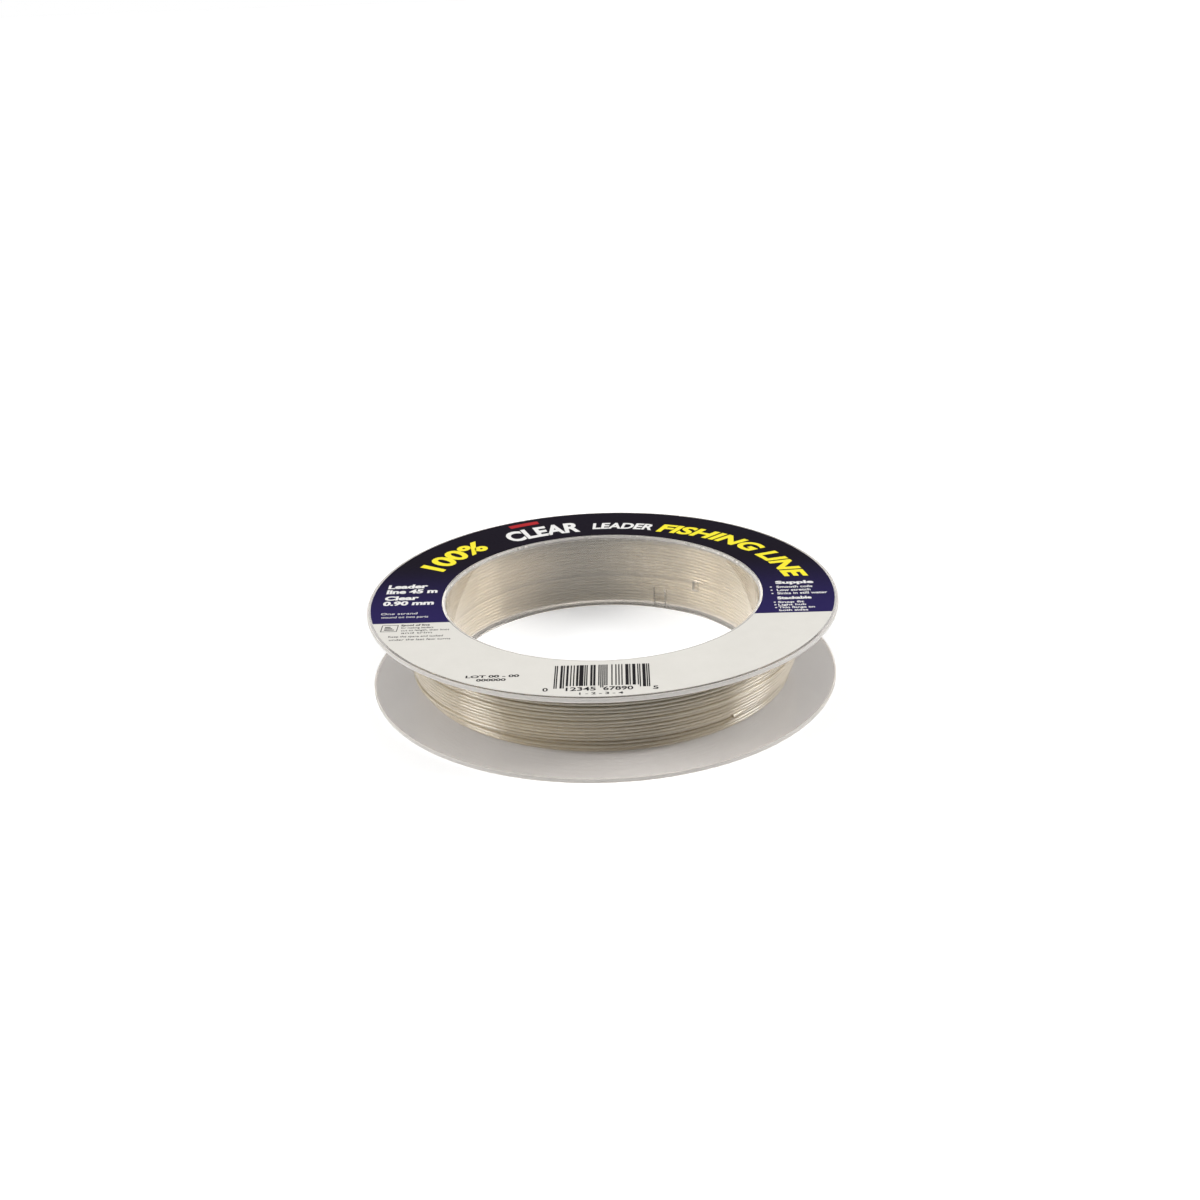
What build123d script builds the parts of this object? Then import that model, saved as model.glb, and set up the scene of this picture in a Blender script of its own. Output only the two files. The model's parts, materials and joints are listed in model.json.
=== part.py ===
from build123d import *
import os

# Fishing line spool: a flat, wide-bored wheel of clear plastic, wound with heavy leader line.
# Two mouldings make the wheel. The upper one is a flange with the bore sleeve, the lower one is a
# flange with a sleeve that fits round it, and three snap fingers hold the two together for good.
# A ring-shaped paper label is stuck on the upper flange, and the line fills the channel.
#
# Millimetres. The origin is the bore's centre on the surface that the spool stands on, +Z is the
# bore's axis, and -Y is the side that the lower part of the label's print faces.

# ---- driving dimensions ----
FLANGE_R = 59.0           # both flanges
FLANGE_T = 1.05           # thickness of each flange
SPOOL_H = 21.0            # underside of the lower flange to the top of the upper one
BORE_R = 39.5             # hole for a wrist, a peg or a rod butt
SLEEVE_T = 1.2            # wall of each of the two sleeves
SLEEVE_GAP = 0.1          # radial clearance between the sleeves
RIM_ROUND = 0.3           # moulded edge radius of the flanges
BORE_ROUND = 0.3          # lead-in round the bore
SLEEVE_RECESS = 0.1       # the bore sleeve stops this far above the underside

FINGER_W = 3.0            # snap finger, cut free in the bore sleeve's foot
FINGER_H = 6.2            # its length, from the sleeve's foot to its root
FINGER_SLIT = 0.25        # narrow gap on each side of a finger
HOOK_REACH = 0.7          # how far the hook stands out of the finger
HOOK_Z = (1.8, 3.6)       # foot of the hook's ramp, and its catch face
HOOK_NOSE = 0.4           # flat nose between the ramp and the catch face
WINDOW_SIDE = 0.3         # room round a hook in its window, on each side
WINDOW_ABOVE = 0.1        # room over the catch face
WINDOW_BELOW = 0.3        # room under the ramp
FIRST_FINGER_DEG = 66.0   # azimuth from +X; the other two are a third of a turn apart
FINGER_COUNT = 3

ANCHOR_DEG = 50.5         # azimuth of the slot that the line's inner end is pushed into
ANCHOR_W = 1.8            # along the sleeve
ANCHOR_Z = (7.0, 9.8)     # its lower and upper end

LABEL_R = (40.3, 58.0)    # inner and outer radius of the die-cut paper ring
LABEL_T = 0.12

WINDING_FOOT_R = 47.3     # outside of the wound line where it meets the lower flange
WINDING_CROWN_R = 49.6    # its widest, a little above the middle
WINDING_CROWN_Z = 12.0
WINDING_HEAD_R = 49.0     # where it meets the upper flange

# ---- derived dimensions ----
UPPER_UNDERSIDE = SPOOL_H - FLANGE_T
INNER_SLEEVE_R = BORE_R + SLEEVE_T
OUTER_SLEEVE_R = (INNER_SLEEVE_R + SLEEVE_GAP, INNER_SLEEVE_R + SLEEVE_GAP + SLEEVE_T)
FINGER_ANGLES = [FIRST_FINGER_DEG + 360.0 * i / FINGER_COUNT for i in range(FINGER_COUNT)]


def turned(outline):
    """Solid of revolution about Z from a list of (radius, height) corners."""
    wire = Polyline(*[(r, 0, z) for r, z in outline], close=True)
    return revolve(make_face(wire), Axis.Z, 360)


def round_edges(part, radius, edge_radius, heights):
    """Rounds the circular edges of one radius that lie at the given heights."""
    rims = [
        e for e in part.edges().filter_by(GeomType.CIRCLE)
        if abs(e.radius - edge_radius) < 1e-3 and any(abs(e.center().Z - z) < 1e-3 for z in heights)
    ]
    return fillet(rims, radius)


def radial_block(azimuth, r_span, width, z_span, offset=0.0):
    """Box whose length points away from the axis at an azimuth, moved sideways by offset."""
    length = r_span[1] - r_span[0]
    height = z_span[1] - z_span[0]
    middle = Pos((r_span[0] + r_span[1]) / 2, offset, (z_span[0] + z_span[1]) / 2)
    return Rot(0, 0, azimuth) * middle * Box(length, width, height)


def snap_hook(azimuth):
    """Ramped hook on the outside of a finger, with its catch face on top."""
    root = INNER_SLEEVE_R - SLEEVE_T / 2
    tip = INNER_SLEEVE_R + HOOK_REACH
    low, high = HOOK_Z
    outline = [(root, low), (INNER_SLEEVE_R, low), (tip, high - HOOK_NOSE), (tip, high), (root, high)]
    wire = Polyline(*[(r, FINGER_W / 2, z) for r, z in outline], close=True)
    prism = extrude(make_face(wire), FINGER_W, dir=(0, -1, 0))
    return Rot(0, 0, azimuth) * prism


def make_upper_flange_half():
    part = turned([
        (BORE_R, SLEEVE_RECESS),
        (INNER_SLEEVE_R, SLEEVE_RECESS),
        (INNER_SLEEVE_R, UPPER_UNDERSIDE),
        (FLANGE_R, UPPER_UNDERSIDE),
        (FLANGE_R, SPOOL_H),
        (BORE_R, SPOOL_H),
    ])
    part = round_edges(part, RIM_ROUND, FLANGE_R, (UPPER_UNDERSIDE, SPOOL_H))
    part = round_edges(part, BORE_ROUND, BORE_R, (SPOOL_H, SLEEVE_RECESS))
    slit_r = (BORE_R - SLEEVE_T, INNER_SLEEVE_R + SLEEVE_T)
    slit_offset = (FINGER_W + FINGER_SLIT) / 2
    for azimuth in FINGER_ANGLES:
        for side in (-1, 1):
            part -= radial_block(azimuth, slit_r, FINGER_SLIT, (-1.0, FINGER_H), side * slit_offset)
        part += snap_hook(azimuth)
    return part


def make_lower_flange_half():
    inner_r, outer_r = OUTER_SLEEVE_R
    part = turned([
        (inner_r, 0.0),
        (FLANGE_R, 0.0),
        (FLANGE_R, FLANGE_T),
        (outer_r, FLANGE_T),
        (outer_r, UPPER_UNDERSIDE),
        (inner_r, UPPER_UNDERSIDE),
    ])
    part = round_edges(part, RIM_ROUND, FLANGE_R, (0.0, FLANGE_T))
    through_r = (inner_r - SLEEVE_T, outer_r + SLEEVE_T)
    window_z = (HOOK_Z[0] - WINDOW_BELOW, HOOK_Z[1] + WINDOW_ABOVE)
    for azimuth in FINGER_ANGLES:
        part -= radial_block(azimuth, through_r, FINGER_W + 2 * WINDOW_SIDE, window_z)
    part -= radial_block(ANCHOR_DEG, through_r, ANCHOR_W, ANCHOR_Z)
    return part


def make_front_label():
    inner_r, outer_r = LABEL_R
    ring = Circle(outer_r) - Circle(inner_r)
    return Pos(0, 0, SPOOL_H) * extrude(ring, LABEL_T)


def make_line_winding():
    """Outer shape of the wound line: a ring on the sleeve with a gently crowned outside."""
    inner_r = OUTER_SLEEVE_R[1]
    foot_in = (inner_r, 0, FLANGE_T)
    foot_out = (WINDING_FOOT_R, 0, FLANGE_T)
    crown = (WINDING_CROWN_R, 0, WINDING_CROWN_Z)
    head_out = (WINDING_HEAD_R, 0, UPPER_UNDERSIDE)
    head_in = (inner_r, 0, UPPER_UNDERSIDE)
    outline = Wire([
        Line(foot_in, foot_out),
        ThreePointArc(foot_out, crown, head_out),
        Line(head_out, head_in),
        Line(head_in, foot_in),
    ])
    return revolve(make_face(outline), Axis.Z, 360)


PARTS = {
    "upper_flange_half": make_upper_flange_half,
    "lower_flange_half": make_lower_flange_half,
    "front_label": make_front_label,
    "line_winding": make_line_winding,
}

os.makedirs("parts", exist_ok=True)
for node, make in PARTS.items():
    export_step(make(), f"parts/{node}.step")
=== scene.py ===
import json
import math
import random

import bmesh
import bpy
from mathutils import Matrix, Vector


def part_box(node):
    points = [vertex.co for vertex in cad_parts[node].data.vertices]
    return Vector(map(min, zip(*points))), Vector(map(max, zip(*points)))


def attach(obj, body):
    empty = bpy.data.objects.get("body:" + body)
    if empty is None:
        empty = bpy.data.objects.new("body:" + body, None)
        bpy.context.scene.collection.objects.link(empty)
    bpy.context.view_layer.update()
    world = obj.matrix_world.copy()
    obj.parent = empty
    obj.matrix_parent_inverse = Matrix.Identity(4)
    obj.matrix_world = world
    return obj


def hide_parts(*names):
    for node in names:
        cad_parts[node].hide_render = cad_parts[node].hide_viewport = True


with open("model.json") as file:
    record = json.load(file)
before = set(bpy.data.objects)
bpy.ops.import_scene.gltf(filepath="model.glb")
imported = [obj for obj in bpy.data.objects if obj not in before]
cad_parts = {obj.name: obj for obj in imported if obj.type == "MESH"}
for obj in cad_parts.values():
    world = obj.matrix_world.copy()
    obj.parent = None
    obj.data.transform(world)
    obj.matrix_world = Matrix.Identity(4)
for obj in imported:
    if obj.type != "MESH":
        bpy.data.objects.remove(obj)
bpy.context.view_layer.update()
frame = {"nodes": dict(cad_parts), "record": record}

# Looks of a fishing line spool: two clear mouldings, a printed paper ring and one long strand of line.
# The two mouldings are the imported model's own meshes with a better material. The label and the
# winding are replaced, the winding by the line itself, turn by turn.

MM = 0.001
TURN = 2 * math.pi


# ---------------------------------------------------------------- sizes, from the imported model
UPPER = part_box("upper_flange_half")
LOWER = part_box("lower_flange_half")
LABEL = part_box("front_label")
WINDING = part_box("line_winding")
MOUNTS = {m["name"]: m for m in frame["record"]["mounts"]}

FLANGE_R = UPPER[1].x
BORE_R = MOUNTS["bore"]["dims"]["r_mm"] * MM
LABEL_TOP = LABEL[1].z
CHANNEL = (WINDING[0].z, WINDING[1].z)
SLEEVE_R = BORE_R + 2.5 * MM          # outside of the outer sleeve, which the line is wound on
ANCHOR_AZIMUTH = math.radians(50.5)   # the slot for the line's inner end

LINE_D = 0.89 * MM


# ---------------------------------------------------------------- camera
LENS_MM = 43.84                       # on a 36 mm sensor
CAMERA_DISTANCE = 0.3689
CAMERA_ELEVATION = math.radians(23.29)
CAMERA_ROLL = math.radians(2.12)
AIM_OFFSET = (-0.53 * MM, -2.12 * MM)  # the camera looks this far right of and above the label's centre


def make_camera():
    right = Vector((1, 0, 0))
    back = Vector((0, -math.cos(CAMERA_ELEVATION), math.sin(CAMERA_ELEVATION)))
    up = back.cross(right)
    roll = Matrix.Rotation(CAMERA_ROLL, 3, back)
    # a camera turned clockwise shows the object's right side higher
    right, up = roll.inverted() @ right, roll.inverted() @ up
    place = Vector((0, 0, LABEL_TOP)) + CAMERA_DISTANCE * back
    place += AIM_OFFSET[0] * right + AIM_OFFSET[1] * up
    data = bpy.data.cameras.new("camera")
    data.lens = LENS_MM
    data.sensor_width = 36
    data.clip_start, data.clip_end = 0.01, 10
    camera = bpy.data.objects.new("camera", data)
    camera.matrix_world = Matrix.Translation(place) @ Matrix((right, up, back)).transposed().to_4x4()
    bpy.context.scene.collection.objects.link(camera)
    bpy.context.scene.camera = camera


# ---------------------------------------------------------------- node helpers
class Tree:
    """Short names for building the shader of a material or of the world."""

    def __init__(self, owner):
        owner.use_nodes = True
        owner.node_tree.nodes.clear()
        self.owner = owner
        self.nodes = owner.node_tree.nodes
        self.links = owner.node_tree.links

    @classmethod
    def of_material(cls, name):
        return cls(bpy.data.materials.new(name))

    def add(self, kind, inputs=None, **settings):
        node = self.nodes.new("ShaderNode" + kind)
        for key, value in settings.items():
            setattr(node, key, value)
        for key, value in (inputs or {}).items():
            socket = node.inputs[key]
            if isinstance(value, bpy.types.NodeSocket):
                self.links.new(value, socket)
            else:
                socket.default_value = value
        return node

    def math(self, operation, *values, clamp=False):
        node = self.add("Math", dict(enumerate(values)), operation=operation, use_clamp=clamp)
        return node.outputs[0]

    def mix_colour(self, factor, a, b, blend="MIX"):
        node = self.add("Mix", data_type="RGBA", blend_type=blend)
        for socket, value in ((node.inputs[0], factor), (node.inputs[6], a), (node.inputs[7], b)):
            if isinstance(value, bpy.types.NodeSocket):
                self.links.new(value, socket)
            else:
                socket.default_value = value
        return node.outputs[2]

    def noise(self, coords, scale, detail=2.0, roughness=0.5):
        node = self.add("TexNoise", {"Vector": coords, "Scale": scale, "Detail": detail,
                                     "Roughness": roughness})
        return node.outputs["Fac"]

    def ramp(self, value, low, high, to_low=0.0, to_high=1.0, smooth=False):
        node = self.add("MapRange", {"Value": value, "From Min": low, "From Max": high,
                                     "To Min": to_low, "To Max": to_high})
        if smooth:
            node.interpolation_type = "SMOOTHSTEP"
        return node.outputs[0]

    def bump(self, height, strength, distance):
        node = self.add("Bump", {"Height": height, "Strength": strength, "Distance": distance})
        return node.outputs[0]

    def finish(self, shader, output="OutputMaterial"):
        self.links.new(shader, self.add(output).inputs["Surface"])
        return self.owner


def lets_lamps_through(tree, shader, tint):
    """Glass that casts a light, tinted shadow."""
    clear = tree.add("BsdfTransparent", {"Color": tint})
    path = tree.add("LightPath")
    mix = tree.add("MixShader", {0: path.outputs["Is Shadow Ray"]})
    tree.links.new(shader, mix.inputs[1])
    tree.links.new(clear.outputs[0], mix.inputs[2])
    return mix.outputs[0]


# ---------------------------------------------------------------- materials
RIM_LIGHT_BAND = (0.7 * MM, 0.25 * MM)      # the rims are painted paler and less clear between these distances from the edge: painted light, for the light the edges catch
LIP_LIGHT_BAND = (0.8 * MM, 0.4 * MM)       # the bore's top lip is painted paler likewise, from the bore's wall
LIP_LIGHT_DEPTH = (1.2 * MM, 0.5 * MM)      # and between these depths under the label's face
FLANGE_FROST_AND_SHADE_BAND = 1.5 * MM                # the flanges' grey fades in over this, from the sleeve; the grey is partly their frosted finish and partly painted shade


def clear_plastic():
    tree = Tree.of_material("clear_plastic")
    place = tree.add("TexCoord").outputs["Object"]
    height = tree.add("SeparateXYZ", {"Vector": place}).outputs["Z"]
    haze = tree.noise(place, 90.0, 4.0, 0.6)
    scuffs = tree.noise(place, 700.0, 3.0, 0.7)
    flat = tree.add("VectorMath", {0: place, 1: (1, 1, 0)}, operation="MULTIPLY").outputs[0]
    radius = tree.add("VectorMath", {0: flat}, operation="LENGTH").outputs["Value"]
    # painted light: the rims and the bore's top lip are made paler, rougher and less clear, for the light
    # that the plastic's edges catch
    rim_light = tree.ramp(radius, FLANGE_R - RIM_LIGHT_BAND[0], FLANGE_R - RIM_LIGHT_BAND[1])
    lip_light = tree.math("MULTIPLY", tree.ramp(radius, BORE_R + LIP_LIGHT_BAND[0], BORE_R + LIP_LIGHT_BAND[1]),
                    tree.ramp(height, LABEL_TOP - LIP_LIGHT_DEPTH[0], LABEL_TOP - LIP_LIGHT_DEPTH[1]))
    edge_light = tree.math("MAXIMUM", rim_light, lip_light)
    # the flanges are finely textured and rougher than the polished hub, and their grey tint is partly that
    # frost and partly painted shade, for the shadowed floor seen through them; the hub gets a lighter tint
    # of the same plastic, painted light for the line seen through it
    flange = tree.ramp(radius, SLEEVE_R, SLEEVE_R + FLANGE_FROST_AND_SHADE_BAND)
    body = tree.mix_colour(flange, (0.995, 0.965, 0.915, 1), (0.57, 0.55, 0.535, 1))
    # the painted light of the edges goes over the tint
    colour = tree.mix_colour(edge_light, body, (0.97, 0.925, 0.875, 1))
    wear = tree.math("ADD", tree.ramp(haze, 0.35, 0.7, 0.04, 0.10),
                     tree.ramp(scuffs, 0.6, 0.8, 0.0, 0.08))
    roughness = tree.math("ADD", 0.015, tree.math("MULTIPLY", wear, tree.ramp(flange, 0, 1, 0.15, 1.0)))
    plastic = tree.add("BsdfPrincipled", {
        "Base Color": colour,
        "Roughness": tree.math("ADD", roughness, tree.math("MULTIPLY", edge_light, 0.25)),
        "IOR": 1.45,
        "Transmission Weight": tree.ramp(edge_light, 0, 1, 0.95, 0.50),
        "Normal": tree.bump(haze, 0.02, 0.0004),
    })
    return tree.finish(lets_lamps_through(tree, plastic.outputs[0], (0.97, 0.96, 0.945, 1)))


PRINT_TURN = math.radians(-1.2)       # the label is stuck on a little turned
CHORD_Y = -16.2 * MM                  # where the dark half of the print ends
GRADIENT_END_Y = 24 * MM              # from here to the back the navy has faded to black
BARE_PAPER = (0.76, 0.745, 0.70, 1)


def label_paper():
    tree = Tree.of_material("label_paper")
    coords = tree.add("TexCoord")
    place = coords.outputs["Object"]
    turned = tree.add("VectorRotate", {"Vector": place, "Angle": -PRINT_TURN}, rotation_type="Z_AXIS")
    y = tree.add("SeparateXYZ", {"Vector": turned.outputs[0]}).outputs["Y"]
    upwards = tree.add("SeparateXYZ", {"Vector": coords.outputs["Normal"]}).outputs["Z"]
    grain = tree.noise(place, 900.0, 3.0, 0.6)
    fibres = tree.noise(place, 160.0, 4.0, 0.65)
    white = tree.mix_colour(tree.ramp(fibres, 0.3, 0.7),
                            (0.65, 0.63, 0.585, 1), (0.675, 0.655, 0.61, 1))
    dark = tree.mix_colour(tree.ramp(y, CHORD_Y, GRADIENT_END_Y, smooth=True),
                           (0.020, 0.014, 0.080, 1), (0.0075, 0.005, 0.011, 1))
    behind_chord = tree.ramp(y, CHORD_Y - 0.05 * MM, CHORD_Y + 0.05 * MM)
    face = tree.mix_colour(behind_chord, white, dark)
    front_side = tree.ramp(upwards, 0.5, 0.6)     # the back of the paper is not printed
    colour = tree.mix_colour(front_side, BARE_PAPER, face)
    printed = tree.math("MULTIPLY", behind_chord, front_side)
    roughness = tree.math("ADD", tree.ramp(grain, 0.2, 0.8, 0.40, 0.52),
                          tree.math("MULTIPLY", printed, -0.06))
    paper = tree.add("BsdfPrincipled", {
        "Base Color": colour,
        "Roughness": roughness,
        "Specular IOR Level": 0.03,
        "Normal": tree.bump(grain, 0.12, 0.00005),
    })
    return tree.finish(paper.outputs[0])


def ink(name, colour):
    tree = Tree.of_material(name)
    place = tree.add("TexCoord").outputs["Object"]
    grain = tree.noise(place, 900.0, 3.0, 0.6)
    shade = tree.mix_colour(tree.ramp(grain, 0.3, 0.7),
                            [0.93 * c for c in colour] + [1], list(colour) + [1])
    coat = tree.add("BsdfPrincipled", {
        "Base Color": shade,
        "Roughness": tree.ramp(grain, 0.2, 0.8, 0.30, 0.42),
        "Specular IOR Level": 0.08,
        "Normal": tree.bump(grain, 0.10, 0.00005),
    })
    return tree.finish(coat.outputs[0])


def fishing_line():
    tree = Tree.of_material("fishing_line")
    place = tree.add("TexCoord").outputs["Object"]
    cloud = tree.noise(place, 60.0, 2.0, 0.5)
    # painted light and shade: dark and pale bands along the strands, finer than a strand is thick, for the
    # bands that refraction draws in a clear strand
    along = tree.add("VectorMath", {0: place, 1: (22.0, 22.0, 2600.0)}, operation="MULTIPLY").outputs[0]
    painted_bands = tree.ramp(tree.noise(along, 1.0, 3.0, 0.6), 0.36, 0.64)
    pale = tree.mix_colour(tree.ramp(cloud, 0.3, 0.7), (0.80, 0.735, 0.61, 1), (0.88, 0.82, 0.695, 1))
    colour = tree.mix_colour(painted_bands, (0.60, 0.54, 0.42, 1), pale)
    strand = tree.add("BsdfPrincipled", {
        "Base Color": colour,
        "Roughness": tree.ramp(cloud, 0.2, 0.8, 0.11, 0.18),
        "IOR": 1.46,
        "Transmission Weight": 0.62,
        "Coat Weight": 0.6,
        "Coat Roughness": 0.04,
        "Coat IOR": 1.6,
    })
    return tree.finish(lets_lamps_through(tree, strand.outputs[0], (0.84, 0.79, 0.71, 1)))


# ---------------------------------------------------------------- label
LABEL_HOLE_R = BORE_R + 0.8 * MM
LABEL_LIFT = 0.01 * MM                # keeps the paper's back apart from the flange's face
LABEL_STEPS = 256


def make_label(material):
    """The paper ring: four rings of corners, joined by the hole's wall, both faces and the rim."""
    low, high = LABEL[0].z + LABEL_LIFT, LABEL_TOP
    section = [(LABEL_HOLE_R, low), (LABEL_HOLE_R, high), (LABEL[1].x, high), (LABEL[1].x, low)]
    corners = []
    faces = []
    for i in range(LABEL_STEPS):
        azimuth = TURN * i / LABEL_STEPS
        corners += [(r * math.cos(azimuth), r * math.sin(azimuth), z) for r, z in section]
        here, there = 4 * i, 4 * ((i + 1) % LABEL_STEPS)
        for k in range(4):
            after = (k + 1) % 4
            faces.append((here + k, here + after, there + after, there + k))
    mesh = bpy.data.meshes.new("label_paper_ring")
    mesh.from_pydata(corners, [], faces)
    mesh.materials.append(material)
    label = bpy.data.objects.new("label_paper_ring", mesh)
    bpy.context.scene.collection.objects.link(label)
    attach(label, "root")
    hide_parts("front_label")


# ---------------------------------------------------------------- label print
INK_T = 0.03 * MM                     # the ink is a thin solid, partly sunk into the paper
INK_SINK = 0.01 * MM
# words along an arc: ink, words, azimuth of the first and last edge in degrees, radius of the
# base line at both, height of the capitals, weight
ARC_WORDS = [
    ("print_yellow", "100%", 157.5, 131.5, 45.0, 44.6, 7.4, 0.036),
    ("print_white", "CLEAR", 122.5, 97.0, 43.9, 43.9, 7.6, 0.040),
    ("print_white", "LEADER", 92.5, 71.5, 45.2, 45.0, 4.6, 0.036),
    ("print_yellow", "FISHING LINE", 69.5, 6.0, 44.3, 47.2, 6.0, 0.040),
]
# straight lines of words: ink, words, left edge, base line, width and height of the capitals in mm
STRAIGHT_WORDS = [
    ("print_white", "Leader", -55.0, 5.6, 10.2, 2.6, 0.045),
    ("print_white", "line 45 m", -55.0, 2.3, 13.0, 2.6, 0.045),
    ("print_white", "Clear", -54.9, -1.9, 8.6, 2.6, 0.045),
    ("print_white", "0.90 mm", -54.9, -5.2, 12.8, 2.6, 0.045),
    ("print_white", "One strand", -54.5, -10.9, 9.0, 1.15, 0.0),
    ("print_white", "wound on two parts", -54.2, -13.0, 11.6, 1.15, 0.0),
    ("print_white", "Supple", 43.9, 1.7, 9.6, 1.9, 0.045),
    ("print_white", "Smooth coils", 43.9, -0.9, 9.0, 1.35, 0.02),
    ("print_white", "Low stretch", 43.8, -2.95, 8.4, 1.35, 0.02),
    ("print_white", "Sinks in still water", 43.7, -5.0, 12.4, 1.35, 0.02),
    ("print_white", "Stackable", 43.4, -8.1, 8.4, 1.7, 0.045),
    ("print_white", "Snap fit", 43.3, -10.35, 6.4, 1.1, 0.02),
    ("print_white", "Light hub", 43.2, -12.0, 6.8, 1.1, 0.02),
    ("print_white", "Thin flange on", 43.1, -13.65, 8.8, 1.1, 0.02),
    ("print_white", "both sides", 43.1, -15.3, 7.0, 1.1, 0.02),
    ("print_black", "Spool of line", -48.6, -17.9, 7.0, 0.95, 0.03),
    ("print_black", "for making leaders", -48.4, -19.4, 7.8, 0.95, 0.0),
    ("print_black", "cut to length, then knot", -48.2, -20.9, 11.6, 0.95, 0.0),
    ("print_black", "and trim", -48.0, -22.4, 7.4, 0.95, 0.0),
    ("print_black", "Keep the spare end tucked", -50.8, -24.4, 13.0, 0.95, 0.0),
    ("print_black", "under the last few turns", -50.4, -26.2, 14.6, 0.95, 0.0),
    ("print_black", "LOT 00 - 00", -30.3, -47.3, 12.0, 1.2, 0.03),
    ("print_black", "000000", -27.8, -49.1, 6.6, 1.2, 0.03),
    ("print_black", "1 - 2 - 3 - 4", -4.7, -56.9, 9.6, 1.0, 0.02),
]
ARC_SLANT = 0.12                      # the words along the arc lean over a little
BULLET_R = 0.28
BULLET_X = 42.5
BULLET_CORNERS = 12
BULLETED = ("Smooth coils", "Low stretch", "Sinks in still water",
            "Snap fit", "Light hub", "Thin flange on")


def word_mesh(words, weight, slant):
    """Flat letters as thin solids: their corners and faces, with capitals 1 high."""
    curve = bpy.data.curves.new("words", "FONT")
    curve.body = words
    curve.offset = weight
    curve.shear = slant
    curve.extrude = 0.5
    curve.resolution_u = 4
    holder = bpy.data.objects.new("words", curve)
    bpy.context.scene.collection.objects.link(holder)
    bpy.context.view_layer.update()
    mesh = bpy.data.meshes.new_from_object(holder.evaluated_get(bpy.context.evaluated_depsgraph_get()))
    bpy.data.objects.remove(holder)
    return mesh


def add_words(solids, words, weight, slant, place):
    """Put words into the ink's mesh; place turns (share of the width, height, 0 or 1) to a point."""
    mesh = word_mesh(words, weight, slant)
    cap = word_mesh("H", weight, slant)
    tall = max(v.co.y for v in cap.vertices)
    low = min(v.co.y for v in cap.vertices)
    left = min(v.co.x for v in mesh.vertices)
    right = max(v.co.x for v in mesh.vertices)
    for v in mesh.vertices:
        v.co = place((v.co.x - left) / (right - left), (v.co.y - low) / (tall - low), v.co.z > 0)
    solids.from_mesh(mesh)
    bpy.data.meshes.remove(mesh)
    bpy.data.meshes.remove(cap)


def ink_height(on_top):
    return LABEL_TOP - INK_SINK + (INK_T if on_top else 0.0)


def add_slab(solids, outline):
    """A thin patch of ink with the given outline, anticlockwise, in label millimetres."""
    turn = Matrix.Rotation(PRINT_TURN, 2)
    rings = []
    for on_top in (False, True):
        ring = []
        for x, y in outline:
            flat = turn @ Vector((x * MM, y * MM))
            ring.append(solids.verts.new((flat.x, flat.y, ink_height(on_top))))
        rings.append(ring)
    solids.faces.new(rings[1])
    solids.faces.new(list(reversed(rings[0])))
    for i in range(len(outline)):
        j = (i + 1) % len(outline)
        solids.faces.new((rings[0][i], rings[0][j], rings[1][j], rings[1][i]))


def add_box(solids, x0, y0, x1, y1):
    add_slab(solids, [(x0, y0), (x1, y0), (x1, y1), (x0, y1)])


# runs of bar, gap, bar, gap for each digit of the usual twelve-digit retail bar code
BAR_RUNS = ["3211", "2221", "2122", "1411", "1132", "1231", "1114", "1312", "1213", "3112"]
BAR_DIGITS = "012345678905"           # a placeholder number
BARS_LEFT, BARS_RIGHT = -10.4, 10.8
BARS_TOP, BARS_FOOT, GUARD_FOOT = -42.3, -52.7, -53.7
BAR_SPREAD = 0.025                    # the ink spreads this far past each side of a bar


def add_bar_code(solids):
    module = (BARS_RIGHT - BARS_LEFT) / 95
    x = BARS_LEFT

    def draw(runs, dark, foot):
        nonlocal x
        for width in runs:
            if dark:
                add_box(solids, x - BAR_SPREAD, foot, x + int(width) * module + BAR_SPREAD, BARS_TOP)
            x += int(width) * module
            dark = not dark

    draw("111", True, GUARD_FOOT)
    for i, digit in enumerate(BAR_DIGITS):
        if i == 6:
            draw("11111", False, GUARD_FOOT)
        outer = i in (0, 11)
        draw(BAR_RUNS[int(digit)], i >= 6, GUARD_FOOT if outer else BARS_FOOT)
    draw("111", True, GUARD_FOOT)


BAR_CODE_WORDS = [
    ("print_black", "0", -12.8, -54.9, 1.2, 1.6, 0.02),
    ("print_black", "12345", -7.7, -55.0, 6.6, 1.7, 0.02),
    ("print_black", "67890", 0.5, -55.0, 6.6, 1.7, 0.02),
    ("print_black", "5", 11.4, -55.1, 1.2, 1.6, 0.02),
]
SMALL_BOX = (-53.2, -21.0, -49.2, -17.2)   # left, foot, right and top of the small framed mark
SMALL_BOX_LINE = 0.18
RULES, RULE_PITCH, RULE_THICK, RULE_INSET, RULE_STEP = 3, 0.8, 0.4, 0.8, 0.5   # the lines in it
RED_BAR = (117.5, 108.5, 53.8, 56.0)       # azimuths and radii of the plain red bar
RED_BAR_STEPS = 16
INK_COLOURS = {
    "print_yellow": (0.90, 0.78, 0.035),
    "print_white": (0.80, 0.79, 0.77),
    "print_black": (0.012, 0.010, 0.012),
    "print_red": (0.42, 0.015, 0.02),
}


def add_bullet(solids, y):
    corners = [TURN * i / BULLET_CORNERS for i in range(BULLET_CORNERS)]
    add_slab(solids, [(BULLET_X + BULLET_R * math.cos(a), y + BULLET_R * math.sin(a)) for a in corners])


def add_small_mark(solids):
    """A plain frame with three short rules in it."""
    left, foot, right, top = SMALL_BOX
    line = SMALL_BOX_LINE
    add_box(solids, left, foot, right, foot + line)
    add_box(solids, left, top - line, right, top)
    add_box(solids, left, foot + line, left + line, top - line)
    add_box(solids, right - line, foot + line, right, top - line)
    for i in range(RULES):
        y = foot + RULE_INSET + RULE_PITCH * i
        add_box(solids, left + RULE_INSET, y, right - RULE_INSET - RULE_STEP * i, y + RULE_THICK)


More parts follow.
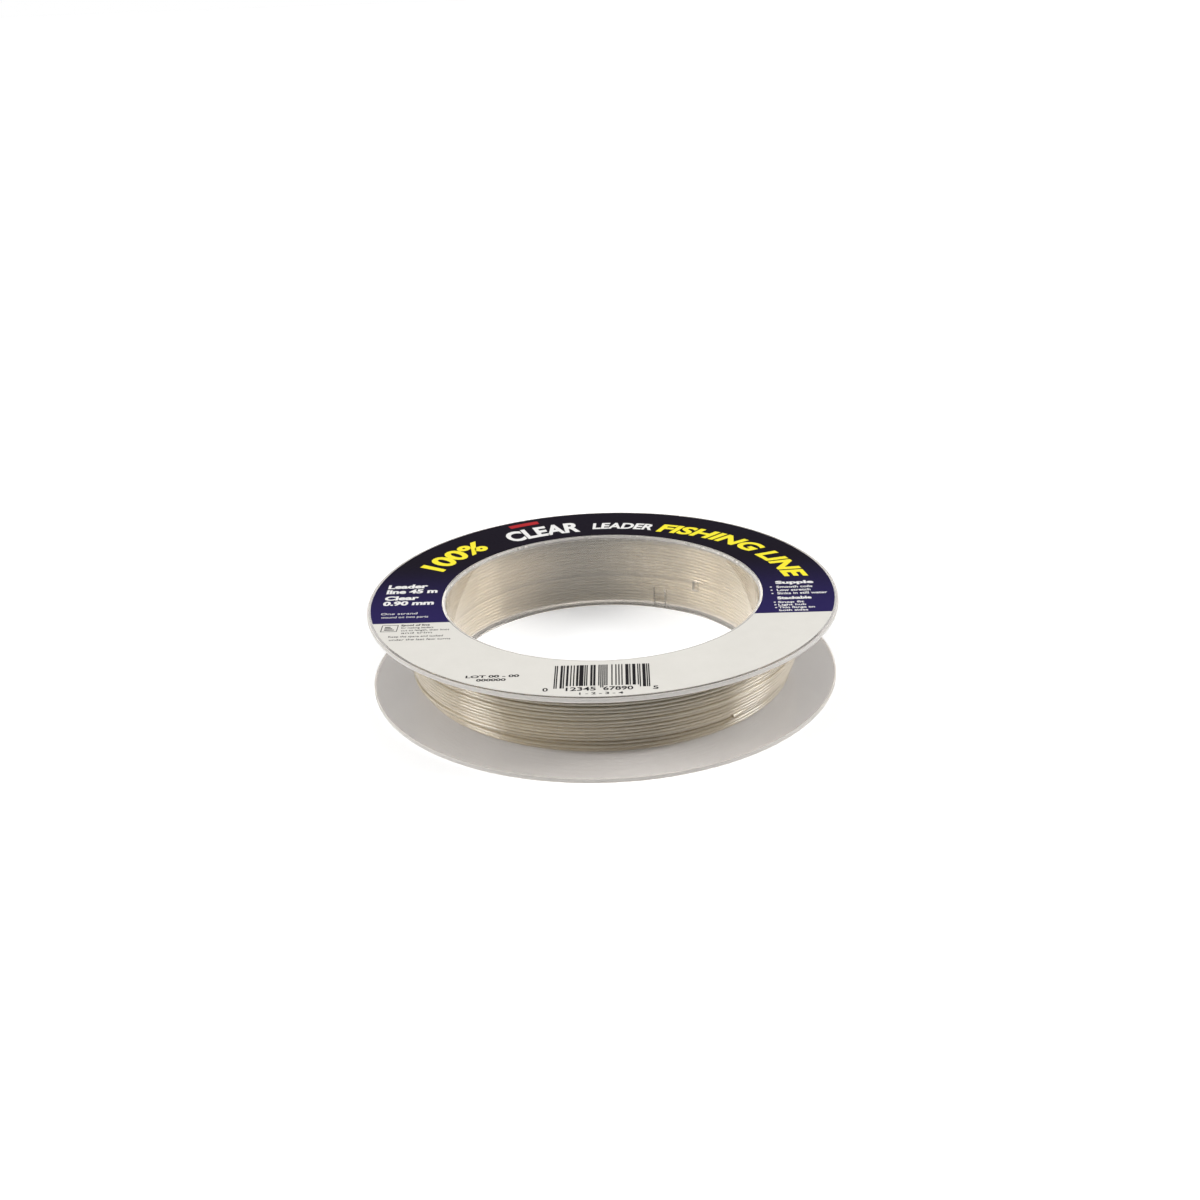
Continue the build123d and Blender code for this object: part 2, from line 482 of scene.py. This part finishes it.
def add_red_bar(solids):
    az0, az1, r0, r1 = RED_BAR
    arc = [math.radians(az0 + (az1 - az0) * i / RED_BAR_STEPS) - PRINT_TURN
           for i in range(RED_BAR_STEPS + 1)]
    outer = [(r1 * math.cos(a), r1 * math.sin(a)) for a in reversed(arc)]
    inner = [(r0 * math.cos(a), r0 * math.sin(a)) for a in arc]
    add_slab(solids, outer + inner)


def make_print():
    inks = {name: bmesh.new() for name in INK_COLOURS}
    for ink_name, words, az0, az1, r0, r1, cap, weight in ARC_WORDS:
        def on_arc(share, up, on_top):
            azimuth = math.radians(az0 + (az1 - az0) * share)
            r = MM * (r0 + (r1 - r0) * share + cap * up)
            return Vector((r * math.cos(azimuth), r * math.sin(azimuth), ink_height(on_top)))
        add_words(inks[ink_name], words, weight, ARC_SLANT, on_arc)
    turn = Matrix.Rotation(PRINT_TURN, 2)
    for ink_name, words, x, y, width, cap, weight in STRAIGHT_WORDS + BAR_CODE_WORDS:
        def on_line(share, up, on_top):
            flat = turn @ Vector((MM * (x + width * share), MM * (y + cap * up)))
            return Vector((flat.x, flat.y, ink_height(on_top)))
        add_words(inks[ink_name], words, weight, 0.0, on_line)
        if words in BULLETED:
            add_bullet(inks[ink_name], y + cap / 2)
    add_bar_code(inks["print_black"])
    add_small_mark(inks["print_black"])
    add_red_bar(inks["print_red"])
    for name, solids in inks.items():
        bmesh.ops.remove_doubles(solids, verts=solids.verts, dist=1e-7)
        bmesh.ops.recalc_face_normals(solids, faces=solids.faces)
        mesh = bpy.data.meshes.new(name)
        solids.to_mesh(mesh)
        solids.free()
        mesh.materials.append(ink(name, INK_COLOURS[name]))
        piece = bpy.data.objects.new(name, mesh)
        bpy.context.scene.collection.objects.link(piece)
        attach(piece, "root")


# ---------------------------------------------------------------- the line, turn by turn
POSITIONS = 21                        # strands side by side from flange to flange
POINTS_PER_TURN = 24
SPLINE_GAIN = 1 / math.cos(math.pi / POINTS_PER_TURN)   # the spline runs inside its control points
# and the straight steps between them are longer than the strand
END_AZIMUTH = math.radians(-53.7)     # where the cut end lies on the outside of the winding
# places where the traverse turns back, as positions from the lower flange; it starts at the slot
TRAVERSE = [8.0, 0, 20, 0, 20, 0, 20, 0, 20, 3.4]
END_STUB = 0.003                      # share of a turn from the last turn's end to the cut
SIDE_ROOM = 0.05 * MM                 # least room between the strands and a flange
# how far the strands wander: all together at the sleeve, all together at the outside, each on its
# own at the outside, and outwards
SHARED_INSIDE, SHARED_OUTSIDE, OWN_OUTSIDE, OUTWARDS = 0.03 * MM, 0.22 * MM, 0.15 * MM, 0.08 * MM
STRAYS = 8                            # places where an outer turn strays over its neighbour
STRAY_WIDTH = (0.05, 0.11)            # least and greatest length of such a place, in turns
STRAY_SIDE, STRAY_OUT = 0.75 * LINE_D, 0.35 * LINE_D
# outline of the winding: widest at this share of its height, drawn in by so much at foot and head
CROWN_SHARE = 0.58
FOOT_DROP = 2.3 * MM
HEAD_DROP = 0.6 * MM


def outline_radius(share):
    """Radius of the outermost strands; share is 0 at the lower flange and 1 at the upper one."""
    if share < CROWN_SHARE:
        drop = FOOT_DROP * (1 - share / CROWN_SHARE) ** 2
    else:
        drop = HEAD_DROP * ((share - CROWN_SHARE) / (1 - CROWN_SHARE)) ** 2
    return WINDING[1].x - LINE_D / 2 - drop


def wander(rng, waves):
    """Smooth wandering along the line, -1 to 1. Waves near a whole number per turn keep
    neighbouring turns side by side."""
    terms = [(f, rng.uniform(0, TURN), a) for f, a in waves]
    total = sum(a for _, _, a in terms)
    return lambda t: sum(a * math.sin(TURN * f * t + p) for f, p, a in terms) / total


def traverse_points():
    """(turns so far, position, pass number) at every control point of the winding."""
    out = []
    t = 0.0
    for number, (a, b) in enumerate(zip(TRAVERSE, TRAVERSE[1:])):
        turns = abs(b - a)
        steps = round(turns * POINTS_PER_TURN)
        for i in range(steps):
            out.append((t + turns * i / steps, a + (b - a) * i / steps, number))
        t += turns
    for end in (t, t + END_STUB):
        out.append((end, TRAVERSE[-1], len(TRAVERSE) - 2))
    return out


def layers_below(number):
    """How many layers lie under the given pass at each position."""
    layers = [0.0] * POSITIONS
    for a, b in list(zip(TRAVERSE, TRAVERSE[1:]))[:number]:
        for j in range(POSITIONS):
            if min(a, b) - 0.5 <= j <= max(a, b) + 0.5:
                layers[j] += 1
    return layers


def line_route():
    """The strand's control points, from the anchor slot outwards to the cut end, clockwise."""
    rng = random.Random(5)
    low = CHANNEL[0] + LINE_D / 2 + SIDE_ROOM
    high = CHANNEL[1] - LINE_D / 2 - SIDE_ROOM
    first_r = SLEEVE_R + LINE_D / 2 + 0.01 * MM
    shared = wander(rng, [(1.013, 1.0), (2.021, 0.8), (3.04, 0.5), (5.07, 0.25)])
    own = wander(rng, [(0.53, 1.0), (1.31, 0.8), (2.37, 0.6), (4.19, 0.3)])
    lift = wander(rng, [(0.71, 1.0), (1.63, 0.8), (3.29, 0.5)])
    passes = len(TRAVERSE) - 1
    below = [layers_below(number) for number in range(passes + 1)]
    deepest = [count - 1 for count in below[passes]]
    walk = traverse_points()
    total = walk[-1][0]
    last_pass = abs(TRAVERSE[-1] - TRAVERSE[-2])
    strays = [(total - last_pass * rng.uniform(0.03, 0.97), rng.choice((-1, 1)), rng.uniform(*STRAY_WIDTH))
              for _ in range(STRAYS)]
    turns = math.floor(total) + ((ANCHOR_AZIMUTH - END_AZIMUTH) / TURN) % 1
    points = []
    for t, q, number in walk:
        k = min(int(q), POSITIONS - 2)
        f = q - k
        share = q / (POSITIONS - 1)
        outline = outline_radius(share)
        fill = below[number][k] / deepest[k] * (1 - f) + below[number][k + 1] / deepest[k + 1] * f
        r = first_r + (outline - first_r) * fill
        z = low + (high - low) * share
        # the wandering is nearly all in the outer turns, which the others don't hold in place
        z += (SHARED_INSIDE + SHARED_OUTSIDE * fill ** 6) * shared(t) + OWN_OUTSIDE * fill ** 6 * own(t)
        r += OUTWARDS * fill ** 4 * lift(t)
        for middle, side, width in strays:
            bulge = math.exp(-((t - middle) / width) ** 2)
            z += side * STRAY_SIDE * bulge
            r += STRAY_OUT * bulge
        z = min(max(z, low), high)
        angle = ANCHOR_AZIMUTH - TURN * t * turns / total
        r *= SPLINE_GAIN
        points.append(Vector((r * math.cos(angle), r * math.sin(angle), z)))
    return points


def make_line(material):
    points = line_route()
    curve = bpy.data.curves.new("leader_line", "CURVE")
    curve.dimensions = "3D"
    spline = curve.splines.new("NURBS")
    spline.points.add(len(points) - 1)
    for target, point in zip(spline.points, points):
        target.co = (*point, 1)
    spline.order_u = 3
    spline.use_endpoint_u = True
    spline.resolution_u = 3
    curve.bevel_depth = LINE_D / 2
    curve.bevel_resolution = 2
    curve.use_fill_caps = True
    curve.materials.append(material)
    line = bpy.data.objects.new("leader_line", curve)
    bpy.context.scene.collection.objects.link(line)
    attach(line, "root")
    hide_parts("line_winding")


# ---------------------------------------------------------------- stage
FLOOR_HALF = 40.0                     # far enough that its edge is out of sight
FLOOR_GAP = 0.05 * MM                 # keeps the floor's face apart from the underside of the spool


def make_stage():
    mesh = bpy.data.meshes.new("floor")
    corners = [(x * FLOOR_HALF, y * FLOOR_HALF, -FLOOR_GAP)
               for x, y in ((-1, -1), (1, -1), (1, 1), (-1, 1))]
    mesh.from_pydata(corners, [], [(0, 1, 2, 3)])
    floor = bpy.data.objects.new("floor", mesh)
    tree = Tree.of_material("floor_paint")
    paint = tree.add("BsdfDiffuse", {"Color": (0.93, 0.93, 0.93, 1)})
    glow = tree.add("Emission", {"Color": (1, 1, 1, 1), "Strength": 0.27})
    both = tree.add("AddShader")
    tree.links.new(paint.outputs[0], both.inputs[0])
    tree.links.new(glow.outputs[0], both.inputs[1])
    mesh.materials.append(tree.finish(both.outputs[0]))
    bpy.context.scene.collection.objects.link(floor)


# ---------------------------------------------------------------- studio light
AMBIENT = 0.26
# each softbox: azimuth from +X and elevation, half angle of its bright part and of its soft edge,
# all in degrees, and brightness
SOFTBOXES = [
    (162, 32, 8, 32, 1.8),
    (22, 32, 8, 32, 1.9),
    (-169, 28, 3, 16, 10.8),
    (4, 28, 3, 16, 10.8),
    (95, 66, 10, 38, 0.6),
    (-90, 66, 8, 28, 1.3),
]
DARK_FRONT = (-90, 0, 30, 65, -0.19)  # the unlit side, where the camera stands


def make_lights():
    """A studio tent: a large and a small softbox on each side, two overhead and a dark front."""
    tree = Tree(bpy.data.worlds.new("world"))
    towards = tree.add("TexCoord").outputs["Generated"]
    light = AMBIENT
    for azimuth, elevation, inner, outer, brightness in SOFTBOXES + [DARK_FRONT]:
        azimuth, elevation = math.radians(azimuth), math.radians(elevation)
        middle = (math.cos(azimuth) * math.cos(elevation), math.sin(azimuth) * math.cos(elevation),
                  math.sin(elevation))
        near = tree.add("VectorMath", {0: towards, 1: middle}, operation="DOT_PRODUCT").outputs["Value"]
        lobe = tree.ramp(near, math.cos(math.radians(outer)), math.cos(math.radians(inner)),
                         0.0, brightness, smooth=True)
        light = tree.math("ADD", light, lobe)
    sky = tree.add("Background", {"Color": (1, 1, 1, 1), "Strength": light})
    # the camera sees a plain white backdrop past the floor's end
    backdrop = tree.add("Background", {"Color": (1, 1, 1, 1), "Strength": 1.0})
    shown = tree.add("MixShader", {0: tree.add("LightPath").outputs["Is Camera Ray"]})
    tree.links.new(sky.outputs[0], shown.inputs[1])
    tree.links.new(backdrop.outputs[0], shown.inputs[2])
    bpy.context.scene.world = tree.finish(shown.outputs[0], "OutputWorld")


def make_scene():
    make_camera()
    make_line(fishing_line())
    make_lights()
    make_stage()
    plastic = clear_plastic()
    for node in ("upper_flange_half", "lower_flange_half"):
        frame["nodes"][node].material_slots[0].material = plastic
    make_label(label_paper())
    make_print()
    bpy.context.scene.view_settings.view_transform = "Standard"


make_scene()
